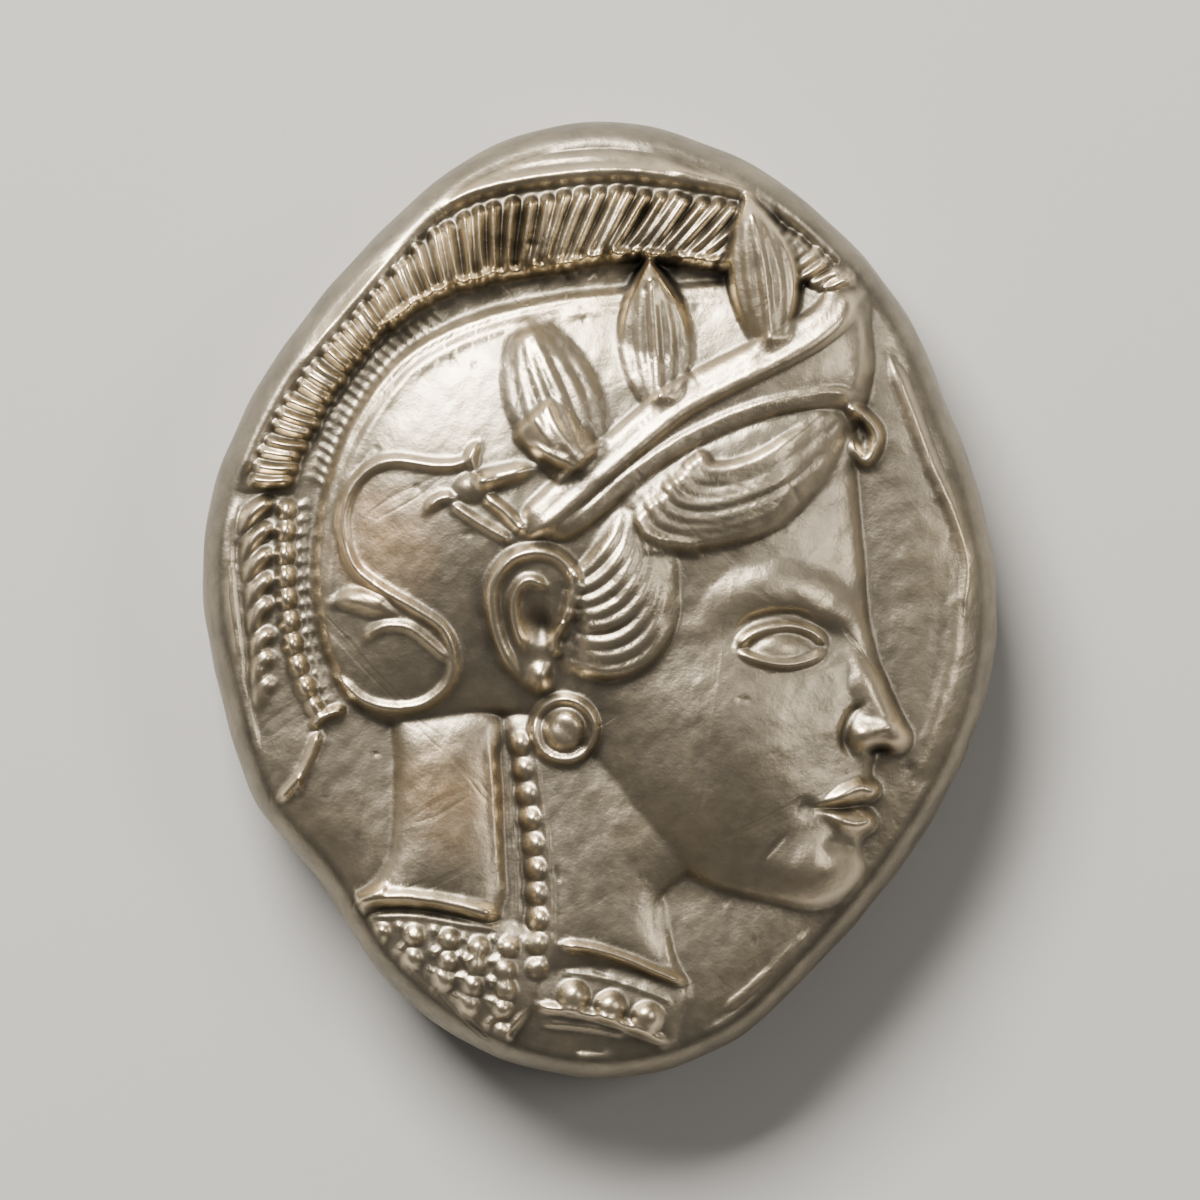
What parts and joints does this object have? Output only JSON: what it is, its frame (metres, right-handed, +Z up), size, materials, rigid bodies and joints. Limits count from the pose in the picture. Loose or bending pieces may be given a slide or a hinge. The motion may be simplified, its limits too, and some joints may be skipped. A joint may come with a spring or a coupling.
{
  "type": "tetradrachm coin",
  "caption": "Thick oval silver coin with a helmeted head in high relief on one face and an owl in a sunk square on the other.",
  "frame": {"origin": "on the underside, in the middle of the flan's outline", "axes": "+Z up out of the face with the head, +Y towards the top of the head, +X to the side that the head faces"},
  "size_m": [0.0218, 0.0262, 0.006],
  "materials": {
    "silver": "worn, lightly toned struck silver"
  },
  "bodies": {
    "root": {"coin": "silver"}
  },
  "joints": []
}
